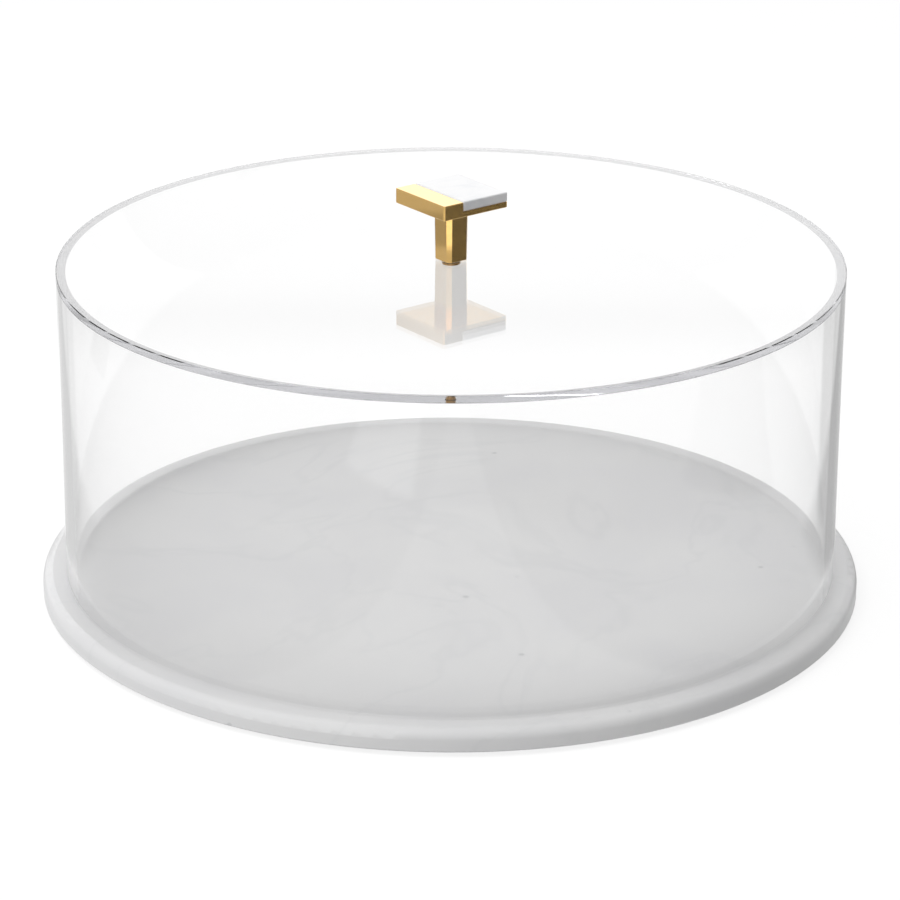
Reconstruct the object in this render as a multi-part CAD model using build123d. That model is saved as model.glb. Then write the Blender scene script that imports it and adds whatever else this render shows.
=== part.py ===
from build123d import *
from math import atan, degrees
import os

# A round cake dome: a clear acrylic cover that is lifted off a white marble base by a square knob.
# Millimetres, +Z up. The origin is the centre of the plane that the feet stand on. The knob's square
# lies along X and Y, with the bare strip of its metal head on the -X side.

# Marble base
base_diameter = 330.0
base_thickness = 9.0
base_top_round = 4.0
base_bottom_arris = 0.8  # small chamfer under the rim

# Bumper feet under the base
foot_count = 4
foot_diameter = 16.0
foot_top_diameter = 14.0
foot_height = 2.0
foot_round = 0.8
foot_inset = 45.0  # from the base's rim in to the centre of a foot

# Acrylic cover: a rolled wall with a flat plate cemented on its upper end
dome_margin = 9.5  # how far the base stands out round the wall
wall_height = 124.2
wall_thickness = 3.8
plate_thickness = 2.8
acrylic_arris = 0.3  # polished chamfer on the free edges

# Knob head: a square metal plate, rebated for a marble inlay that leaves one strip bare
head_side = 31.5
head_corner_round = 0.8
head_edge_round = 0.3
lip_thickness = 2.2  # metal left under the inlay
strip_width = 9.3
rebate_round = 0.5
inlay_thickness = 4.0
inlay_proud = 0.2
inlay_gap = 0.3
inlay_edge_round = 0.5
inlay_side_inset = 0.1

# Knob stem: a square bar that narrows downwards, with chamfered corners
stem_height = 22.1
stem_top_side = 10.9
stem_bottom_side = 10.2
stem_chamfer = 1.5
stem_edge_round = 0.2
spigot_diameter = 5.0
spigot_recess = 0.2  # the spigot ends this far under the inlay

# Soft clear gasket that keeps the stem off the plate
gasket_diameter = 8.6
gasket_thickness = 0.3
gasket_arris = 0.08

# Low-head screw, driven up from inside the cover
screw_diameter = 4.0
screw_engagement = 10.0
screw_tip_chamfer = 0.6
screw_head_diameter = 7.4
screw_head_height = 0.9
screw_head_round = 0.3
recess_width = 0.9
recess_span = 3.2
recess_depth = 1.3
bore_spare = 2.0  # bore left over past the screw's tip

# Clearances, on the radius
thread_clearance = 0.05
spigot_clearance = 0.05
hole_clearance = 0.3

# Radii and levels that follow from the sizes above
base_radius = base_diameter / 2
foot_circle_radius = base_radius - foot_inset
dome_radius = base_radius - dome_margin
head_thickness = lip_thickness + inlay_thickness - inlay_proud
screw_radius = screw_diameter / 2
screw_hole_radius = screw_radius + hole_clearance

base_bottom = foot_height
base_top = base_bottom + base_thickness
plate_bottom = base_top + wall_height
plate_top = plate_bottom + plate_thickness
stem_bottom = plate_top + gasket_thickness
stem_top = stem_bottom + stem_height
rebate_floor = stem_top + lip_thickness
screw_head_bottom = plate_bottom - screw_head_height
screw_tip = stem_bottom + screw_engagement

inlay_left = -head_side / 2 + strip_width + inlay_gap
inlay_right = head_side / 2 - inlay_side_inset
inlay_length = inlay_right - inlay_left
inlay_width = head_side - 2 * inlay_side_inset

ON_BASE = (Align.CENTER, Align.CENTER, Align.MIN)
FROM_LEFT = (Align.MIN, Align.CENTER, Align.MIN)


def turned(corners, rounds=None, chamfers=None):
    """Turn an outline of (radius, height) corners about Z, after rounding or chamfering some of them."""
    outline = make_face(Polyline(*corners, close=True))
    for corner, radius in (rounds or {}).items():
        outline = fillet(outline.vertices().sort_by_distance(corner)[:1], radius)
    for corner, length in (chamfers or {}).items():
        outline = chamfer(outline.vertices().sort_by_distance(corner)[:1], length)
    return revolve(Plane.XZ * outline, Axis.Z)


def marble_base():
    """A solid disc with a soft round-over on top and a small chamfer underneath."""
    bottom_rim = (base_radius, base_bottom)
    top_rim = (base_radius, base_top)
    corners = [(0, base_bottom), bottom_rim, top_rim, (0, base_top)]
    return turned(corners, {top_rim: base_top_round}, {bottom_rim: base_bottom_arris})


def bumper_foot():
    """A soft bumper at the origin, wider where it stands, with its lower edge rounded."""
    bottom_rim = (foot_diameter / 2, 0)
    corners = [(0, 0), bottom_rim, (foot_top_diameter / 2, foot_height), (0, foot_height)]
    return turned(corners, {bottom_rim: foot_round})


def dome_wall():
    """The cylindrical wall, with polished arrises at its open lower end."""
    inner = dome_radius - wall_thickness
    inner_rim = (inner, base_top)
    outer_rim = (dome_radius, base_top)
    corners = [inner_rim, outer_rim, (dome_radius, plate_bottom), (inner, plate_bottom)]
    return turned(corners, chamfers={inner_rim: acrylic_arris, outer_rim: acrylic_arris})


def dome_plate():
    """The flat top plate, as wide as the wall, with the knob's screw hole at its centre."""
    bottom_rim = (dome_radius, plate_bottom)
    top_rim = (dome_radius, plate_top)
    corners = [(screw_hole_radius, plate_bottom), bottom_rim, top_rim, (screw_hole_radius, plate_top)]
    return turned(corners, chamfers={bottom_rim: acrylic_arris, top_rim: acrylic_arris})


def stem_gasket():
    """The thin soft ring that the stem stands on, with its outer edges chamfered."""
    outer_edges = [(gasket_diameter / 2, plate_top), (gasket_diameter / 2, stem_bottom)]
    corners = [(screw_hole_radius, plate_top), *outer_edges, (screw_hole_radius, stem_bottom)]
    return turned(corners, chamfers={edge: gasket_arris for edge in outer_edges})


def knob_stem():
    """The stem, which widens upwards, with a spigot into the head and a threaded bore from below."""
    square = Rectangle(stem_bottom_side, stem_bottom_side)
    section = Plane.XY.offset(stem_bottom) * chamfer(square.vertices(), stem_chamfer)
    widening = degrees(atan((stem_top_side - stem_bottom_side) / 2 / stem_height))
    body = extrude(section, stem_height, taper=-widening)
    body = fillet(body.edges().group_by(Axis.Z)[0], stem_edge_round)
    spigot_height = lip_thickness - spigot_recess
    spigot = Pos(0, 0, stem_top) * Cylinder(spigot_diameter / 2, spigot_height, align=ON_BASE)
    bore_radius = screw_radius + thread_clearance
    bore = Pos(0, 0, stem_bottom) * Cylinder(bore_radius, screw_engagement + bore_spare, align=ON_BASE)
    return body + spigot - bore


def knob_head():
    """The square head, with a rebate open on three sides and a hole for the stem's spigot."""
    head = Pos(0, 0, stem_top) * Box(head_side, head_side, head_thickness, align=ON_BASE)
    head = fillet(head.edges().filter_by(Axis.Z), head_corner_round)
    ends = head.edges().group_by(Axis.Z)
    head = fillet(ends[0] + ends[-1], head_edge_round)
    rebate = Pos(-head_side / 2 + strip_width, 0, rebate_floor)
    rebate *= Box(head_side, 2 * head_side, head_thickness, align=FROM_LEFT)
    inner_corner = rebate.edges().filter_by(Axis.Y).sort_by_distance((-head_side, 0, rebate_floor))[:1]
    rebate = fillet(inner_corner, rebate_round)
    hole_radius = spigot_diameter / 2 + spigot_clearance
    spigot_hole = Pos(0, 0, stem_top) * Cylinder(hole_radius, head_thickness, align=ON_BASE)
    return head - rebate - spigot_hole


def knob_inlay():
    """The marble block in the rebate, with every edge softened."""
    block = Pos(inlay_left, 0, rebate_floor)
    block *= Box(inlay_length, inlay_width, inlay_thickness, align=FROM_LEFT)
    return fillet(block.edges(), inlay_edge_round)


def knob_screw():
    """A screw with a low flat head, driven up from inside the cover, with a cross recess."""
    tip = (screw_radius, screw_tip)
    rim = (screw_head_diameter / 2, screw_head_bottom)
    corners = [
        (0, screw_head_bottom),
        rim,
        (screw_head_diameter / 2, plate_bottom),
        (screw_radius, plate_bottom),
        tip,
        (0, screw_tip),
    ]
    screw = turned(corners, {rim: screw_head_round}, {tip: screw_tip_chamfer})
    slot = Pos(0, 0, screw_head_bottom) * Box(recess_span, recess_width, recess_depth, align=ON_BASE)
    return screw - slot - Rot(0, 0, 90) * slot


def write_step(name, solid):
    """Write one sub-part to its own file."""
    export_step(solid, os.path.join("parts", name + ".step"))


def main():
    """Build every sub-part and write it."""
    os.makedirs("parts", exist_ok=True)
    builders = [
        marble_base,
        dome_wall,
        dome_plate,
        stem_gasket,
        knob_stem,
        knob_head,
        knob_inlay,
        knob_screw,
    ]
    for builder in builders:
        write_step(builder.__name__, builder())
    foot = bumper_foot()
    first_angle = 180 / foot_count
    places = PolarLocations(foot_circle_radius, foot_count, first_angle).locations
    for number, place in enumerate(places, start=1):
        write_step(f"foot_{number}", place * foot)


main()
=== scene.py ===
"""Looks for a cake dome: clear cover, gold-and-marble knob and white marble base, in a pale studio.

Lengths are in metres in the model's own frame: +Z up, origin at the centre of the plane under the feet.
"""

import math
from collections import namedtuple

import bmesh
import bpy
from bpy.props import FloatProperty, FloatVectorProperty, IntProperty, PointerProperty
from mathutils import Matrix, Vector


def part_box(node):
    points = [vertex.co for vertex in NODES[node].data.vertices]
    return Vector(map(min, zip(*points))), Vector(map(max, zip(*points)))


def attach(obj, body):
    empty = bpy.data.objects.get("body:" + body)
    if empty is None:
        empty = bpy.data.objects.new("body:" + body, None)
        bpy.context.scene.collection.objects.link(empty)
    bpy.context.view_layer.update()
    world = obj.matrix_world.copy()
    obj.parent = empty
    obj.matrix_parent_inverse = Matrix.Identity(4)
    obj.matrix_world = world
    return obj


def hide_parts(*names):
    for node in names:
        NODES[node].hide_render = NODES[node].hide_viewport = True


bl_info = {
    "name": "Cake dome looks",
    "version": (1, 0, 0),
    "blender": (4, 5, 0),
    "location": "View3D > Sidebar > Cake dome",
    "description": "Finishes for a cake dome's acrylic cover, gold and marble knob and marble base",
    "category": "Object",
}

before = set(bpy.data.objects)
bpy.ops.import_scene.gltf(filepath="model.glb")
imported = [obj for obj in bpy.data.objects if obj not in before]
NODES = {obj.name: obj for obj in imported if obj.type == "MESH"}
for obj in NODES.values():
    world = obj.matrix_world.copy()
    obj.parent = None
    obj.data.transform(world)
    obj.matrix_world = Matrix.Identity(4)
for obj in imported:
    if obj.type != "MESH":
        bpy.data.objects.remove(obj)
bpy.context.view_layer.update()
MM = 0.001
UP = Vector((0, 0, 1))
SENSOR = 36.0  # width of the camera's sensor, in millimetres
SHARP_ANGLE = 30.0  # edges of a turned piece that bend more than this stay sharp, in degrees
FLOOR_SEGMENTS = 96
FLAG_RISE = 0.36  # how high a flag's middle stands, for about one unit of distance


def linear(code):
    """Turn an sRGB hex code into linear RGB."""
    levels = [int(code[i:i + 2], 16) / 255 for i in (1, 3, 5)]
    return [v / 12.92 if v <= 0.04045 else ((v + 0.055) / 1.055) ** 2.4 for v in levels]


def rgba(code):
    """Turn an sRGB hex code into linear RGBA for a colour socket."""
    return (*linear(code), 1.0)


def colour(name, description, code):
    """A colour property with an sRGB hex default."""
    return FloatVectorProperty(
        name=name, description=description, subtype="COLOR", size=3, min=0, max=1, default=linear(code)
    )


def length(name, description, millimetres):
    """A length property with its default in millimetres."""
    return FloatProperty(
        name=name, description=description, unit="LENGTH", precision=6, default=millimetres * MM
    )


def number(name, description, value):
    """A plain number property."""
    return FloatProperty(name=name, description=description, default=value)


def degrees(name, description, value):
    """An angle property with its default in degrees."""
    return FloatProperty(
        name=name, description=description, subtype="ANGLE", default=math.radians(value)
    )


# Settings, one group for each piece and one each for the camera and the studio
class CameraSettings(bpy.types.PropertyGroup):
    """Where the photograph's camera stands."""

    azimuth: degrees("Azimuth", "Angle round the object from -Y", -37.8)
    distance: length("Distance", "Level distance from the axis", 1366.2)
    height: length("Height", "Height over the standing plane", 587.7)
    pitch: degrees("Pitch", "How far the view tips down", 21.224)
    roll: degrees("Roll", "Turn about the line of sight", 0.21)
    sidestep: length("Sidestep", "Shift of the camera to its left", 0.2)
    lens: number("Lens", "Focal length on a 36 mm sensor, in millimetres", 145.5)


class StudioSettings(bpy.types.PropertyGroup):
    """The pale room that the object stands in."""

    white: number("White", "Level of the white background", 1.0)
    sky: number("Sky", "Light from the room", 0.69)
    lean: number("Lean", "Share by which the room's light drops to the front right", 0.55)
    back: number("Back", "Level of the far wall in reflections", 2.1)
    ceiling: number("Ceiling", "Level of the ceiling at the far side in reflections", 1.3)
    ceiling_low: number("Ceiling, low", "Rise of a way, as a sine, where the ceiling starts", 0.315)
    ceiling_high: number("Ceiling, high", "Rise of a way, as a sine, where it is all ceiling", 0.35)
    front: number("Front", "Level of the room's near side in reflections", 0.95)
    side_near: number("Near side", "How far back a way points, as a sine, where the near side ends", -0.3)
    side_far: number("Far side", "How far back a way points, as a sine, where it is all far side", 0.7)
    flag_width: degrees("Flags' width", "Half the angle that a flag at the side fills", 32.0)
    flag_blur: number("Flags' blur", "Softness of a flag's border, as a cosine", 0.05)
    flag_left: number("Left flag", "Level of the grey flag at the left in reflections", 0.65)
    flag_right: number("Right flag", "Level of the dark flag at the right in reflections", 0.12)
    glow: number("Glow", "Share of the floor's white that no shadow dims", 0.84)
    matt: number("Matt part", "Albedo that takes the shadow, for each unit of white that isn't glow", 1.35)
    floor_radius: length("Floor's radius", "Radius of the round floor", 6000)
    # Painted shade: the floor's albedo drops from the back left to the front right, so that it bounces less
    # light there
    ground_bright: number("Ground, bright", "Floor's albedo at the back left", 0.72)
    ground_dark: number("Ground, dark", "Floor's albedo at the front right", 0.48)
    ground_from: length("Ground from", "Where the floor starts to darken to the front right", -150)
    ground_to: length("Ground to", "Where it stops getting darker", 350)
    # Painted reflection: a white sheet with grey paper, painted on the sweep, that glows only for mirrored
    # light and light through the clear parts
    painted_sheet_white: number("Sheet", "Level of the white sheet right behind the object", 1.05)
    painted_sheet_far: number("Sheet, far", "Level of the white sheet where it lies further back", 0.87)
    fade_near: length("Fade from", "Where the sheet starts to get greyer, behind the axis", 240)
    fade_far: length("Fade to", "Where it stops getting greyer", 340)
    painted_sheet_left: length("Sheet, left", "Half width of the white sheet to the left, at the axis", 154)
    painted_sheet_right: length("Sheet, right", "Half width of the white sheet to the right, at the axis", 155)
    widening_left: number("Widening, left", "How fast the sheet widens to the back, left", 0.30)
    widening_right: number("Widening, right", "How fast the sheet widens to the back, right", 0.235)
    painted_wing_left: number("Left wing", "Level of the grey paper left of the white sheet", 0.66)
    painted_wing_right: number("Right wing", "Level of the grey paper right of the white sheet", 0.46)
    painted_wing_reach: length("Wings' reach", "How far the grey paper reaches to each side", 360)
    painted_wing_depth: length("Wings' depth", "How far the grey paper reaches to the back", 620)
    painted_wing_width: length("Wing's width", "Width of the grey paper that reflections show", 80)
    border: length("Border", "Half the softness of the border between sheet and grey paper", 4)
    blur: length("Blur", "Length over which the grey paper's outer end fades out", 40)
    key_power: number("Key power", "Power of the soft lamp, in watts", 28.0)
    key_left: length("Key, left", "Distance of the lamp to the left", 720)
    key_front: length("Key, front", "Distance of the lamp in front", 1030)
    key_height: length("Key, height", "Height of the lamp", 2060)
    key_width: length("Key, width", "Width of the lamp", 1600)
    key_depth: length("Key, depth", "Depth of the lamp", 1200)
    bounces: IntProperty(
        name="Bounces", description="How often light is followed inside the acrylic", default=64
    )


class CoverSettings(bpy.types.PropertyGroup):
    """The clear cover."""

    segments: IntProperty(
        name="Segments", description="Flats round the turned acrylic", default=960, min=64, max=2048
    )
    arris: length("Arris", "Polished chamfer on the plate's edges", 0.3)
    foot_arris: length("Foot's arris", "Fine chamfer at the wall's foot", 0.03)
    bed: length("Bed", "How deep the wall's foot is bedded, so that no bright line shows there", 0.01)
    joint_gap: length("Joint gap", "Film between the plate and the pieces that it touches", 0.02)
    ior: number("Refraction", "Index of cast acrylic", 1.49)
    edge: colour("Edge", "What a long way through the acrylic turns light to", "#ECECEE")
    density: number("Density", "How fast the acrylic dims light, for each metre", 7.0)


class MarbleSettings(bpy.types.PropertyGroup):
    """The honed white marble of the base."""

    pale: colour("Pale", "The stone's ground", "#E7E7E7")
    cloud: colour("Cloud", "The slightly greyer clouds", "#E3E3E4")
    vein: colour("Vein", "The faint veins", "#DADBDC")
    speck: colour("Speck", "The few grey specks", "#C9CACB")
    cloud_size: number("Cloud size", "Width of a cloud, in millimetres", 70.0)
    vein_size: number("Vein size", "Distance between veins, in millimetres", 120.0)
    speck_size: number("Speck size", "Distance between specks, in millimetres", 34.0)
    grain_size: number("Grain size", "Width of a crystal, in millimetres", 1.2)
    roughness: number("Roughness", "Roughness where it is honed smoothest", 0.30)


class GoldSettings(bpy.types.PropertyGroup):
    """The buffed gold plating of the knob."""

    metal: colour("Metal", "Colour of the plating", "#ECC173")
    stroke_size: number("Stroke size", "Length of a buffing stroke, in millimetres", 14.0)
    roughness: number("Roughness", "Roughness where the buff ran cleanest", 0.02)


class InlaySettings(bpy.types.PropertyGroup):
    """The polished marble block in the knob."""

    pale: colour("Pale", "The stone's ground", "#F0F0F1")
    cloud: colour("Cloud", "The faint grey clouds", "#E6E7EA")
    cloud_size: number("Cloud size", "Width of a cloud, in millimetres", 16.0)
    polish_size: number("Polish size", "Width of a patch of even polish, in millimetres", 3.0)


class FittingSettings(bpy.types.PropertyGroup):
    """The screw, the gasket and the feet."""

    brass: colour("Brass", "Colour of the bare screw", "#B48A4E")
    silicone: colour("Silicone", "Colour of the soft clear parts", "#F4F4F1")
    ring_size: number("Ring size", "Distance between turning marks, drawn coarse, in millimetres", 0.9)
    skin_size: number("Skin size", "Width of a mark in the moulded skin, in millimetres", 1.5)


def add(tree, kind, inputs=None, **settings):
    """Add a node with its settings. An input that is a node or a socket is linked, any other is set."""
    node = tree.nodes.new(kind)
    for name, value in settings.items():
        setattr(node, name, value)
    for key, value in (inputs or {}).items():
        if isinstance(key, int):
            socket = node.inputs[key]
        else:
            socket = [i for i in node.inputs if i.name == key and i.enabled][0]
        if isinstance(value, bpy.types.Node):
            value = [o for o in value.outputs if o.enabled][0]
        if isinstance(value, bpy.types.NodeSocket):
            tree.links.new(value, socket)
        else:
            socket.default_value = value
    return node


def new_material(name):
    """An empty node material, with its tree."""
    material = bpy.data.materials.new(name)
    material.use_nodes = True
    material.node_tree.nodes.clear()
    return material, material.node_tree


def solid(value):
    """A colour property as RGBA."""
    return (*value, 1.0)


def texture_scale(size):
    """Texture scale that draws features of a size in millimetres."""
    return 1 / (size * MM)


def clear_acrylic(s):
    """Cast acrylic sheet with diamond-polished edges: glass-clear and mirror-smooth, with bright edges.

    Lamps reach what is under it: a lamp's ray and a ray off a matt surface go straight on, dimmed at each
    face by what that face reflects.
    """
    material, tree = new_material("Cast acrylic, diamond-polished")
    body = add(tree, "ShaderNodeBsdfPrincipled", {
        "Base Color": rgba("#FFFFFF"), "Roughness": 0.0, "IOR": s.ior, "Transmission Weight": 1.0,
    })
    side = add(tree, "ShaderNodeNewGeometry").outputs["Backfacing"]
    index = add(tree, "ShaderNodeMapRange", {"Value": side, "To Min": s.ior, "To Max": 1 / s.ior})
    mirrored = add(tree, "ShaderNodeFresnel", {"IOR": index})
    let_through = add(tree, "ShaderNodeMath", {0: 1.0, 1: mirrored}, operation="SUBTRACT")
    passed = add(tree, "ShaderNodeBsdfTransparent", {"Color": let_through})
    path = add(tree, "ShaderNodeLightPath").outputs
    matt_light = add(tree, "ShaderNodeMixShader", {0: path["Is Diffuse Ray"], 1: body, 2: passed})
    surface = add(tree, "ShaderNodeMixShader", {0: path["Is Shadow Ray"], 1: matt_light, 2: passed})
    depth = add(tree, "ShaderNodeVolumeAbsorption", {"Color": solid(s.edge), "Density": s.density})
    add(tree, "ShaderNodeOutputMaterial", {"Surface": surface, "Volume": depth})
    return material


def honed_marble(s):
    """White marble, ground flat and honed: a soft satin gloss over faint clouds, a few veins and specks."""
    material, tree = new_material("White marble, honed and sealed")
    place = add(tree, "ShaderNodeTexCoord").outputs["Object"]
    drift = add(tree, "ShaderNodeTexNoise", {
        "Vector": place, "Scale": texture_scale(s.cloud_size), "Detail": 5.0, "Roughness": 0.55,
        "Distortion": 0.6,
    })
    clouds = add(tree, "ShaderNodeMapRange", {
        "Value": drift, "From Min": 0.35, "From Max": 0.65,
    }, interpolation_type="SMOOTHSTEP")
    ground = add(tree, "ShaderNodeMix", {
        "Factor": clouds, "A": solid(s.pale), "B": solid(s.cloud),
    }, data_type="RGBA")
    wander = add(tree, "ShaderNodeTexNoise", {
        "Vector": place, "Scale": texture_scale(s.vein_size), "Detail": 6.0, "Distortion": 1.2,
    })
    off_ridge = add(tree, "ShaderNodeMath", {0: wander, 1: 0.5}, operation="SUBTRACT")
    ridge = add(tree, "ShaderNodeMath", {0: off_ridge}, operation="ABSOLUTE")
    lines = add(tree, "ShaderNodeMapRange", {
        "Value": ridge, "From Max": 0.02, "To Min": 0.55, "To Max": 0.0,
    }, interpolation_type="SMOOTHSTEP")
    breaks = add(tree, "ShaderNodeTexNoise", {"Vector": place, "Scale": texture_scale(s.vein_size * 0.7)})
    veins = add(tree, "ShaderNodeMath", {0: lines, 1: breaks}, operation="MULTIPLY")
    veined = add(tree, "ShaderNodeMix", {"Factor": veins, "A": ground, "B": solid(s.vein)}, data_type="RGBA")
    cells = add(tree, "ShaderNodeTexVoronoi", {"Vector": place, "Scale": texture_scale(s.speck_size)})
    specks = add(tree, "ShaderNodeMapRange", {
        "Value": cells.outputs["Distance"], "From Min": 0.02, "From Max": 0.05,
        "To Min": 0.8, "To Max": 0.0,
    }, interpolation_type="SMOOTHSTEP")
    stone = add(tree, "ShaderNodeMix", {
        "Factor": specks, "A": veined, "B": solid(s.speck),
    }, data_type="RGBA")
    grain = add(tree, "ShaderNodeTexNoise", {
        "Vector": place, "Scale": texture_scale(s.grain_size), "Detail": 3.0,
    })
    roughness = add(tree, "ShaderNodeMapRange", {
        "Value": grain, "From Min": 0.3, "From Max": 0.7,
        "To Min": s.roughness, "To Max": s.roughness + 0.08,
    }, interpolation_type="SMOOTHSTEP")
    relief = add(tree, "ShaderNodeBump", {"Strength": 0.05, "Distance": 0.02 * MM, "Height": grain})
    body = add(tree, "ShaderNodeBsdfPrincipled", {
        "Base Color": stone, "Roughness": roughness, "IOR": 1.5, "Normal": relief,
    })
    add(tree, "ShaderNodeOutputMaterial", {"Surface": body})
    return material


def polished_inlay(s):
    """White marble, polished: a clear gloss with sharp highlights on its softened edges."""
    material, tree = new_material("White marble, polished")
    place = add(tree, "ShaderNodeTexCoord").outputs["Object"]
    drift = add(tree, "ShaderNodeTexNoise", {
        "Vector": place, "Scale": texture_scale(s.cloud_size), "Detail": 5.0, "Roughness": 0.55,
        "Distortion": 0.8,
    })
    clouds = add(tree, "ShaderNodeMapRange", {
        "Value": drift, "From Min": 0.4, "From Max": 0.7,
    }, interpolation_type="SMOOTHSTEP")
    stone = add(tree, "ShaderNodeMix", {
        "Factor": clouds, "A": solid(s.pale), "B": solid(s.cloud),
    }, data_type="RGBA")
    polish = add(tree, "ShaderNodeTexNoise", {
        "Vector": place, "Scale": texture_scale(s.polish_size), "Detail": 3.0,
    })
    roughness = add(tree, "ShaderNodeMapRange", {
        "Value": polish, "From Min": 0.3, "From Max": 0.7, "To Min": 0.10, "To Max": 0.16,
    }, interpolation_type="SMOOTHSTEP")
    body = add(tree, "ShaderNodeBsdfPrincipled", {
        "Base Color": stone, "Roughness": roughness, "IOR": 1.5, "Specular IOR Level": 0.35,
    })
    add(tree, "ShaderNodeOutputMaterial", {"Surface": body})
    return material


def gold_plating(s):
    """Gold plating over buffed metal under clear lacquer: warm mirror with faint buffing strokes."""
    material, tree = new_material("Gold plating, buffed and lacquered")
    place = add(tree, "ShaderNodeTexCoord").outputs["Object"]
    stretched = add(tree, "ShaderNodeMapping", {"Vector": place, "Scale": (1.0, 1.0, 9.0)})
    strokes = add(tree, "ShaderNodeTexNoise", {
        "Vector": stretched, "Scale": texture_scale(s.stroke_size), "Detail": 5.0, "Roughness": 0.6,
    })
    smudges = add(tree, "ShaderNodeTexNoise", {
        "Vector": place, "Scale": texture_scale(s.stroke_size * 0.6), "Detail": 3.0,
    })
    both = add(tree, "ShaderNodeMath", {0: strokes, 1: smudges}, operation="MULTIPLY")
    roughness = add(tree, "ShaderNodeMapRange", {
        "Value": both, "From Min": 0.12, "From Max": 0.40,
        "To Min": s.roughness, "To Max": s.roughness + 0.05,
    }, interpolation_type="SMOOTHSTEP")
    relief = add(tree, "ShaderNodeBump", {"Strength": 0.10, "Distance": 0.01 * MM, "Height": strokes})
    body = add(tree, "ShaderNodeBsdfPrincipled", {
        "Base Color": solid(s.metal), "Metallic": 1.0, "Roughness": roughness, "Normal": relief,
        "Coat Weight": 0.5, "Coat Roughness": 0.02, "Coat IOR": 1.5,
    })
    add(tree, "ShaderNodeOutputMaterial", {"Surface": body})
    return material


def turned_brass(s):
    """Bare brass, turned on a lathe: bright, with fine rings round the screw's head."""
    material, tree = new_material("Brass, turned")
    place = add(tree, "ShaderNodeTexCoord").outputs["Object"]
    rings = add(tree, "ShaderNodeTexWave", {
        "Vector": place, "Scale": texture_scale(s.ring_size), "Distortion": 0.4,
    }, wave_type="RINGS", rings_direction="Z")
    roughness = add(tree, "ShaderNodeMapRange", {
        "Value": rings.outputs["Fac"], "To Min": 0.16, "To Max": 0.26,
    }, interpolation_type="SMOOTHSTEP")
    body = add(tree, "ShaderNodeBsdfPrincipled", {
        "Base Color": solid(s.brass), "Metallic": 1.0, "Roughness": roughness,
    })
    add(tree, "ShaderNodeOutputMaterial", {"Surface": body})
    return material


def moulded_silicone(s):
    """Clear silicone, moulded: soft, milky and slightly matt."""
    material, tree = new_material("Silicone, moulded clear")
    place = add(tree, "ShaderNodeTexCoord").outputs["Object"]
    skin = add(tree, "ShaderNodeTexNoise", {"Vector": place, "Scale": texture_scale(s.skin_size)})
    roughness = add(tree, "ShaderNodeMapRange", {
        "Value": skin, "From Min": 0.3, "From Max": 0.7, "To Min": 0.30, "To Max": 0.40,
    }, interpolation_type="SMOOTHSTEP")
    body = add(tree, "ShaderNodeBsdfPrincipled", {
        "Base Color": solid(s.silicone), "Roughness": roughness, "IOR": 1.41, "Transmission Weight": 0.7,
    })
    add(tree, "ShaderNodeOutputMaterial", {"Surface": body})
    return material


def assign(obj, material):
    """Give the whole object one material."""
    obj.data.materials.clear()
    obj.data.materials.append(material)
    for polygon in obj.data.polygons:
        polygon.material_index = 0


def radii(node):
    """Smallest and largest distance of a node's corners from the axis."""
    found = [math.hypot(v.co.x, v.co.y) for v in NODES[node].data.vertices]
    return min(found), max(found)


def turned(name, profile, segments):
    """Turn a closed (radius, height) outline about Z into a mesh object; a radius of 0 is not allowed."""
    mesh = bpy.data.meshes.new(name)
    build = bmesh.new()
    rings = []
    for step in range(segments):
        angle = 2 * math.pi * step / segments
        rings.append([build.verts.new((r * math.cos(angle), r * math.sin(angle), z)) for r, z in profile])
    count = len(profile)
    for step in range(segments):
        here, there = rings[step], rings[(step + 1) % segments]
        for k in range(count):
            after = (k + 1) % count
            build.faces.new((here[k], there[k], there[after], here[after]))
    bmesh.ops.recalc_face_normals(build, faces=build.faces)
    build.to_mesh(mesh)
    build.free()
    obj = bpy.data.objects.new(name, mesh)
    bpy.context.scene.collection.objects.link(obj)
    mesh.shade_smooth()
    mesh.set_sharp_from_angle(angle=math.radians(SHARP_ANGLE))
    return obj


def stands_in(obj, node, body, material):
    """Let a mesh replace a CAD node, with its material, slot and body."""
    assign(obj, material)
    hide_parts(node)
    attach(obj, body)


# One operator for each piece or group of pieces
class DOME_OT_cover(bpy.types.Operator):
    """Turn the clear cover's wall and plate, a film apart, and make them clear acrylic"""

    bl_idname = "dome.cover"
    bl_label = "Clear cover"

    def execute(self, context):
        s = context.scene.dome_cover
        acrylic = clear_acrylic(s)
        low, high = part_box("dome_wall")
        inner, outer = radii("dome_wall")
        foot, top = low.z - s.bed, high.z - s.joint_gap
        fine = s.foot_arris
        wall = turned("cover_wall", [
            (inner + fine, foot), (outer - fine, foot), (outer, foot + fine), (outer, top),
            (inner, top), (inner, foot + fine),
        ], s.segments)
        stands_in(wall, "dome_wall", "dome", acrylic)
        low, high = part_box("dome_plate")
        hole, outer = radii("dome_plate")
        rim = outer - s.arris
        foot, top = low.z + s.joint_gap, high.z - s.joint_gap
        plate = turned("cover_plate", [
            (hole, foot), (rim, foot), (outer, foot + s.arris), (outer, top - s.arris), (rim, top),
            (hole, top),
        ], s.segments)
        stands_in(plate, "dome_plate", "dome", acrylic)
        return {"FINISHED"}


class DOME_OT_base(bpy.types.Operator):
    """Make the base honed marble"""

    bl_idname = "dome.base"
    bl_label = "Marble base"

    def execute(self, context):
        assign(NODES["marble_base"], honed_marble(context.scene.dome_marble))
        return {"FINISHED"}


class DOME_OT_knob(bpy.types.Operator):
    """Make the knob's head and stem gold-plated and its inlay polished marble"""

    bl_idname = "dome.knob"
    bl_label = "Knob"

    def execute(self, context):
        gold = gold_plating(context.scene.dome_gold)
        assign(NODES["knob_head"], gold)
        assign(NODES["knob_stem"], gold)
        assign(NODES["knob_inlay"], polished_inlay(context.scene.dome_inlay))
        return {"FINISHED"}


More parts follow.
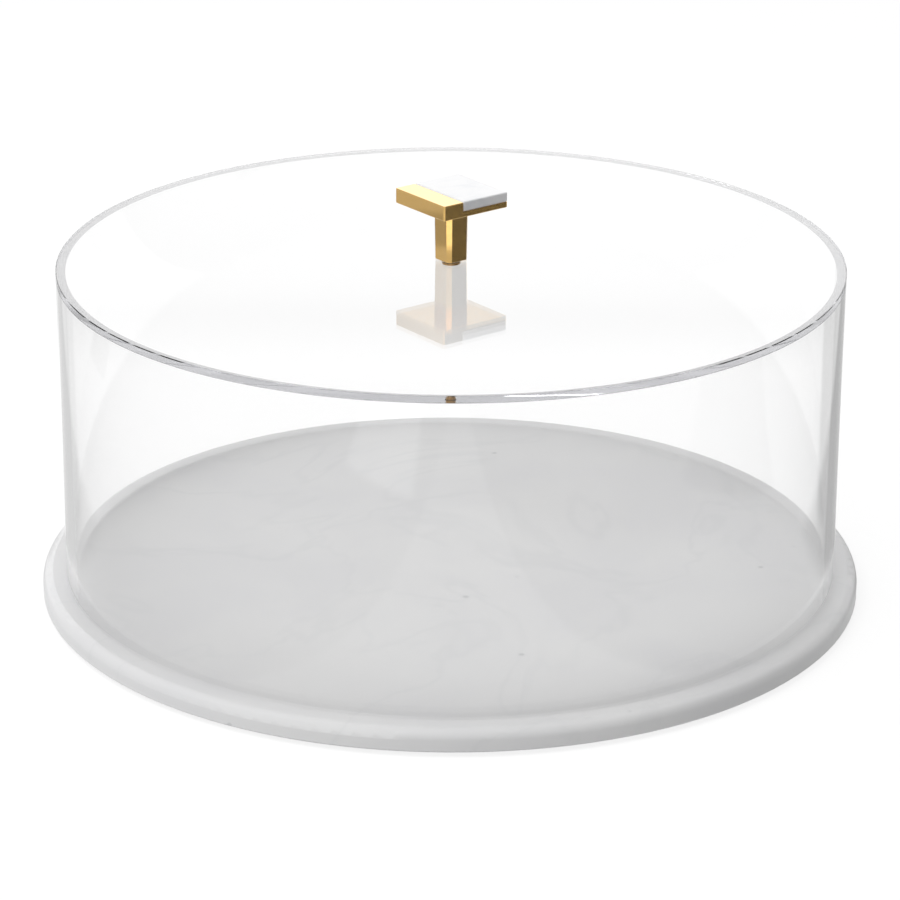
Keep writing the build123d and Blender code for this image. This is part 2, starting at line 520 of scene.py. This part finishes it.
class DOME_OT_fittings(bpy.types.Operator):
    """Make the screw brass and the gasket and feet clear silicone"""

    bl_idname = "dome.fittings"
    bl_label = "Screw, gasket and feet"

    def execute(self, context):
        s = context.scene.dome_fittings
        assign(NODES["knob_screw"], turned_brass(s))
        silicone = moulded_silicone(s)
        for node in ("stem_gasket", "foot_1", "foot_2", "foot_3", "foot_4"):
            assign(NODES[node], silicone)
        return {"FINISHED"}


def photo_axes(azimuth):
    """The photograph's level forward and right directions."""
    forward = Vector((-math.sin(azimuth), math.cos(azimuth), 0))
    right = forward.cross(UP)
    return forward, right


def dark_way(forward, right):
    """The level direction that the room is darkest in: to the right and a little to the front."""
    return right * 0.8 - forward * 0.6


def flag_way(forward, right):
    """The level part of the direction to the right flag; the left flag is opposite."""
    return right * 0.90 - forward * 0.23


PaintedReflection = namedtuple("PaintedReflection", "back right half_back half_right level soft")

# Patches painted on the sweep that only mirrored light meets, painted reflections that draw the knob's
# sides: middle and half sizes in mm, to the back and to the right of the axis, then their level and the
# softness of their edges in mm
PAINTED_REFLECTIONS = {
    "painted pale reflection for the left side of the knob's head": PaintedReflection(130, -560, 45, 58, 0.66, 3),
    "painted grey reflection for the left side of the knob's stem": PaintedReflection(118, -452, 34, 50, 0.34, 3),
    "painted white reflection for the corner of the knob's stem": PaintedReflection(-470, -120, 80, 60, 1.9, 8),
    "painted black reflection for the knob's right side": PaintedReflection(-115, 440, 90, 130, 0.02, 6),
}


def painted_reflection_mask(tree, back, across, painted_patch):
    """1 on a patch of painted reflection, 0 off it."""
    share = 1.0
    for value, middle, half in ((back, painted_patch.back, painted_patch.half_back), (across, painted_patch.right, painted_patch.half_right)):
        shift = add(tree, "ShaderNodeMath", {0: value, 1: middle * MM}, operation="SUBTRACT")
        off = add(tree, "ShaderNodeMath", {0: shift}, operation="ABSOLUTE")
        inside = add(tree, "ShaderNodeMapRange", {
            "Value": off, "From Min": (half - painted_patch.soft) * MM, "From Max": (half + painted_patch.soft) * MM,
            "To Min": 1.0, "To Max": 0.0,
        }, interpolation_type="SMOOTHSTEP")
        share = add(tree, "ShaderNodeMath", {0: inside, 1: share}, operation="MULTIPLY")
    return share


def seen_floor(s, tree):
    """The floor where it is seen: white, mostly by a glow that no shadow dims."""
    albedo = s.matt * (s.white - s.glow)
    shadow = add(tree, "ShaderNodeBsdfDiffuse", {"Color": (albedo, albedo, albedo, 1)})
    glow = add(tree, "ShaderNodeEmission", {"Strength": s.glow})
    return add(tree, "ShaderNodeAddShader", {0: shadow, 1: glow})


def lighting_floor(s, tree, place, forward, right):
    """The floor as it lights what stands on it: paler at the back left than at the front right, painted
    shade for the room's light that falls off to the front right.
    """
    to_dark = add(tree, "ShaderNodeVectorMath", {
        0: place, 1: dark_way(forward, right),
    }, operation="DOT_PRODUCT")
    ground = add(tree, "ShaderNodeMapRange", {
        "Value": to_dark, "From Min": s.ground_from, "From Max": s.ground_to,
        "To Min": s.ground_bright, "To Max": s.ground_dark,
    }, interpolation_type="SMOOTHSTEP")
    return add(tree, "ShaderNodeBsdfDiffuse", {"Color": ground})


def painted_sheet_and_wings(s, tree, paper, across, back):
    """Level of the painted reflection: a white sheet with grey paper on both sides, whose borders slant
    outwards to the back.
    """
    slant = add(tree, "ShaderNodeMath", {0: back, 1: -s.widening_right}, operation="MULTIPLY")
    over = add(tree, "ShaderNodeMath", {0: across, 1: slant}, operation="ADD")
    sheet = add(tree, "ShaderNodeMapRange", {
        "Value": over, "From Min": s.painted_sheet_right - s.border, "From Max": s.painted_sheet_right + s.border,
        "To Min": paper, "To Max": s.painted_wing_right,
    }, interpolation_type="SMOOTHSTEP")
    slant = add(tree, "ShaderNodeMath", {0: back, 1: s.widening_left}, operation="MULTIPLY")
    over = add(tree, "ShaderNodeMath", {0: across, 1: slant}, operation="ADD")
    on_painted_wing = add(tree, "ShaderNodeMapRange", {
        "Value": over, "From Min": -s.painted_sheet_left - s.border, "From Max": -s.painted_sheet_left + s.border,
        "To Min": 1.0, "To Max": 0.0,
    }, interpolation_type="SMOOTHSTEP")
    return add(tree, "ShaderNodeMix", {"Factor": on_painted_wing, "A": sheet, "B": s.painted_wing_left})


def painted_wing_field(s, tree, aside, back):
    """1 in the field behind the object where the painted grey paper shows to light that was never mirrored.
    """
    beside = add(tree, "ShaderNodeMapRange", {
        "Value": aside, "From Min": s.painted_wing_reach, "From Max": s.painted_wing_reach + s.blur,
        "To Min": 1.0, "To Max": 0.0,
    }, interpolation_type="SMOOTHSTEP")
    begun = add(tree, "ShaderNodeMapRange", {
        "Value": back, "From Min": s.blur, "From Max": 2 * s.blur,
    }, interpolation_type="SMOOTHSTEP")
    unended = add(tree, "ShaderNodeMapRange", {
        "Value": back, "From Min": s.painted_wing_depth, "From Max": s.painted_wing_depth + 2 * s.blur,
        "To Min": 1.0, "To Max": 0.0,
    }, interpolation_type="SMOOTHSTEP")
    begun_beside = add(tree, "ShaderNodeMath", {0: beside, 1: begun}, operation="MULTIPLY")
    return add(tree, "ShaderNodeMath", {0: begun_beside, 1: unended}, operation="MULTIPLY")


def painted_wing_strip(s, tree, aside, back):
    """1 on the strip of painted sheet and grey paper that the outside of the cover mirrors."""
    slant = add(tree, "ShaderNodeMath", {0: back, 1: s.widening_right}, operation="MULTIPLY")
    over = add(tree, "ShaderNodeMath", {0: aside, 1: slant}, operation="SUBTRACT")
    end = s.painted_sheet_right + s.painted_wing_width
    beside = add(tree, "ShaderNodeMapRange", {
        "Value": over, "From Min": end - s.border, "From Max": end + s.blur / 2,
        "To Min": 1.0, "To Max": 0.0,
    }, interpolation_type="SMOOTHSTEP")
    begun = add(tree, "ShaderNodeMapRange", {
        "Value": back, "From Min": -s.blur / 2, "From Max": s.blur / 2,
    }, interpolation_type="SMOOTHSTEP")
    return add(tree, "ShaderNodeMath", {0: beside, 1: begun}, operation="MULTIPLY")


def sweep_material(s, forward, right):
    """Matt white sweep: white where it is seen, with a soft shadow.

    Gloss and clear parts see a glow painted on the sweep, a painted reflection of a white sheet with grey
    paper beside it, which draws the cover's edges.
    A few painted patches, which only mirrored light meets, are painted reflections that draw the knob's
    sides.
    """
    material, tree = new_material("Studio sweep, matt white")
    path = add(tree, "ShaderNodeLightPath").outputs
    place = add(tree, "ShaderNodeTexCoord").outputs["Object"]
    across = add(tree, "ShaderNodeVectorMath", {0: place, 1: right}, operation="DOT_PRODUCT")
    back = add(tree, "ShaderNodeVectorMath", {0: place, 1: forward}, operation="DOT_PRODUCT")
    aside = add(tree, "ShaderNodeMath", {0: across}, operation="ABSOLUTE")
    was_mirrored = add(tree, "ShaderNodeMapRange", {
        "Value": path["Glossy Depth"], "From Min": 0.4, "From Max": 0.6,
    }, interpolation_type="SMOOTHSTEP")
    # Painted reflection: the white sheet painted on the sweep, greyer further back
    paper = add(tree, "ShaderNodeMapRange", {
        "Value": back, "From Min": s.fade_near, "From Max": s.fade_far,
        "To Min": s.painted_sheet_white, "To Max": s.painted_sheet_far,
    }, interpolation_type="SMOOTHSTEP")
    painted_wings_level = painted_sheet_and_wings(s, tree, paper, across, back)
    field = painted_wing_field(s, tree, aside, back)
    shown = add(tree, "ShaderNodeMath", {0: field, 1: was_mirrored}, operation="MAXIMUM")
    through = add(tree, "ShaderNodeMix", {"Factor": shown, "A": paper, "B": painted_wings_level})
    strip = painted_wing_strip(s, tree, aside, back)
    mirrored = add(tree, "ShaderNodeMix", {"Factor": strip, "A": s.white, "B": through})
    # Painted reflections: each patch sets the sweep's glow for mirrored light only
    for painted_patch in PAINTED_REFLECTIONS.values():
        mask = painted_reflection_mask(tree, back, across, painted_patch)
        mask = add(tree, "ShaderNodeMath", {0: mask, 1: was_mirrored}, operation="MULTIPLY")
        through = add(tree, "ShaderNodeMix", {"Factor": mask, "A": through, "B": painted_patch.level})
    surface = lighting_floor(s, tree, place, forward, right)
    # The painted reflections glow only for mirrored light and light through the clear parts
    for kind, light in (
        ("Is Camera Ray", seen_floor(s, tree)),
        ("Is Glossy Ray", add(tree, "ShaderNodeEmission", {"Strength": mirrored})),
        ("Is Transmission Ray", add(tree, "ShaderNodeEmission", {"Strength": through})),
    ):
        surface = add(tree, "ShaderNodeMixShader", {0: path[kind], 1: surface, 2: light})
    add(tree, "ShaderNodeOutputMaterial", {"Surface": surface})
    return material


def studio_world(s, forward, right):
    """A room that is white where it is seen; reflections show its brighter far side and two side flags."""
    world = bpy.data.worlds.new("Studio")
    world.use_nodes = True
    tree = world.node_tree
    tree.nodes.clear()
    path = add(tree, "ShaderNodeLightPath").outputs
    ways = add(tree, "ShaderNodeTexCoord").outputs["Generated"]
    rise = add(tree, "ShaderNodeVectorMath", {0: ways, 1: UP}, operation="DOT_PRODUCT")
    far = add(tree, "ShaderNodeMapRange", {
        "Value": rise, "From Min": s.ceiling_low, "From Max": s.ceiling_high,
        "To Min": s.back, "To Max": s.ceiling,
    }, interpolation_type="SMOOTHSTEP")
    reach = add(tree, "ShaderNodeVectorMath", {0: ways, 1: forward}, operation="DOT_PRODUCT")
    room = add(tree, "ShaderNodeMapRange", {
        "Value": reach, "From Min": s.side_near, "From Max": s.side_far, "To Min": s.front, "To Max": far,
    }, interpolation_type="SMOOTHSTEP")
    near = math.cos(s.flag_width)
    aside = flag_way(forward, right)
    for way, value in ((-aside, s.flag_left), (aside, s.flag_right)):
        middle = (way + UP * FLAG_RISE).normalized()
        to_flag = add(tree, "ShaderNodeVectorMath", {0: ways, 1: middle}, operation="DOT_PRODUCT")
        on_flag = add(tree, "ShaderNodeMapRange", {
            "Value": to_flag, "From Min": near - s.flag_blur, "From Max": near + s.flag_blur,
        }, interpolation_type="SMOOTHSTEP")
        room = add(tree, "ShaderNodeMix", {"Factor": on_flag, "A": room, "B": value})
    to_dark = add(tree, "ShaderNodeVectorMath", {
        0: ways, 1: dark_way(forward, right),
    }, operation="DOT_PRODUCT")
    fall = add(tree, "ShaderNodeMath", {0: to_dark, 1: -s.lean * s.sky}, operation="MULTIPLY")
    level = add(tree, "ShaderNodeMath", {0: fall, 1: s.sky}, operation="ADD")
    for kind, value in (
        ("Is Camera Ray", s.white), ("Is Glossy Ray", room), ("Is Transmission Ray", s.white),
    ):
        level = add(tree, "ShaderNodeMix", {"Factor": path[kind], "A": level, "B": value})
    light = add(tree, "ShaderNodeBackground", {"Strength": level})
    add(tree, "ShaderNodeOutputWorld", {"Surface": light})
    return world


class DOME_OT_stage(bpy.types.Operator):
    """Set up the floor, the lamp, the room and the camera"""

    bl_idname = "dome.stage"
    bl_label = "Stage"

    def execute(self, context):
        scene = context.scene
        scene.view_settings.view_transform = "Standard"
        s, place = scene.dome_studio, scene.dome_camera
        scene.cycles.max_bounces = s.bounces
        scene.cycles.glossy_bounces = s.bounces
        scene.cycles.transmission_bounces = s.bounces
        forward, right = photo_axes(place.azimuth)
        mesh = bpy.data.meshes.new("floor")
        build = bmesh.new()
        bmesh.ops.create_circle(build, cap_ends=True, radius=s.floor_radius, segments=FLOOR_SEGMENTS)
        build.to_mesh(mesh)
        build.free()
        floor = bpy.data.objects.new("floor", mesh)
        scene.collection.objects.link(floor)
        assign(floor, sweep_material(s, forward, right))
        scene.world = studio_world(s, forward, right)

        key = bpy.data.lights.new("key", "AREA")
        key.shape = "RECTANGLE"
        key.size, key.size_y = s.key_width, s.key_depth
        key.energy = s.key_power
        lamp = bpy.data.objects.new("key", key)
        lamp.location = right * -s.key_left + forward * -s.key_front + UP * s.key_height
        lamp.rotation_euler = (-lamp.location).to_track_quat("-Z", "Y").to_euler()
        lamp.visible_glossy = False
        scene.collection.objects.link(lamp)

        data = bpy.data.cameras.new("camera")
        data.lens = place.lens
        data.sensor_width = SENSOR
        camera = bpy.data.objects.new("camera", data)
        look = forward * math.cos(place.pitch) - UP * math.sin(place.pitch)
        above = right.cross(look)
        across = math.cos(place.roll) * right + math.sin(place.roll) * above
        over = -math.sin(place.roll) * right + math.cos(place.roll) * above
        turn = Matrix((across, over, -look)).transposed().to_4x4()
        stand = forward * -place.distance - right * place.sidestep + UP * place.height
        camera.matrix_world = Matrix.Translation(stand) @ turn
        scene.collection.objects.link(camera)
        scene.camera = camera
        return {"FINISHED"}


OPERATORS = (DOME_OT_cover, DOME_OT_base, DOME_OT_knob, DOME_OT_fittings, DOME_OT_stage)
GROUPS = {
    "dome_cover": CoverSettings,
    "dome_marble": MarbleSettings,
    "dome_gold": GoldSettings,
    "dome_inlay": InlaySettings,
    "dome_fittings": FittingSettings,
    "dome_studio": StudioSettings,
    "dome_camera": CameraSettings,
}


class DOME_PT_panel(bpy.types.Panel):
    """Lists every operator above its settings"""

    bl_idname = "DOME_PT_panel"
    bl_label = "Cake dome"
    bl_space_type = "VIEW_3D"
    bl_region_type = "UI"
    bl_category = "Cake dome"

    def draw(self, context):
        for operator in OPERATORS:
            self.layout.operator(operator.bl_idname)
        for name in GROUPS:
            box = self.layout.box()
            group = getattr(context.scene, name)
            for field in group.bl_rna.properties:
                if field.identifier not in ("rna_type", "name"):
                    box.prop(group, field.identifier)


def register():
    """Register the settings, the operators and the panel."""
    for name, group in GROUPS.items():
        bpy.utils.register_class(group)
        setattr(bpy.types.Scene, name, PointerProperty(type=group))
    for cls in (*OPERATORS, DOME_PT_panel):
        bpy.utils.register_class(cls)


def unregister():
    """Take them away again."""
    for cls in (DOME_PT_panel, *reversed(OPERATORS)):
        bpy.utils.unregister_class(cls)
    for name, group in reversed(GROUPS.items()):
        delattr(bpy.types.Scene, name)
        bpy.utils.unregister_class(group)


def main():
    """Make everything."""
    register()
    bpy.ops.dome.cover()
    bpy.ops.dome.base()
    bpy.ops.dome.knob()
    bpy.ops.dome.fittings()
    bpy.ops.dome.stage()


if __name__ == "__main__":
    main()
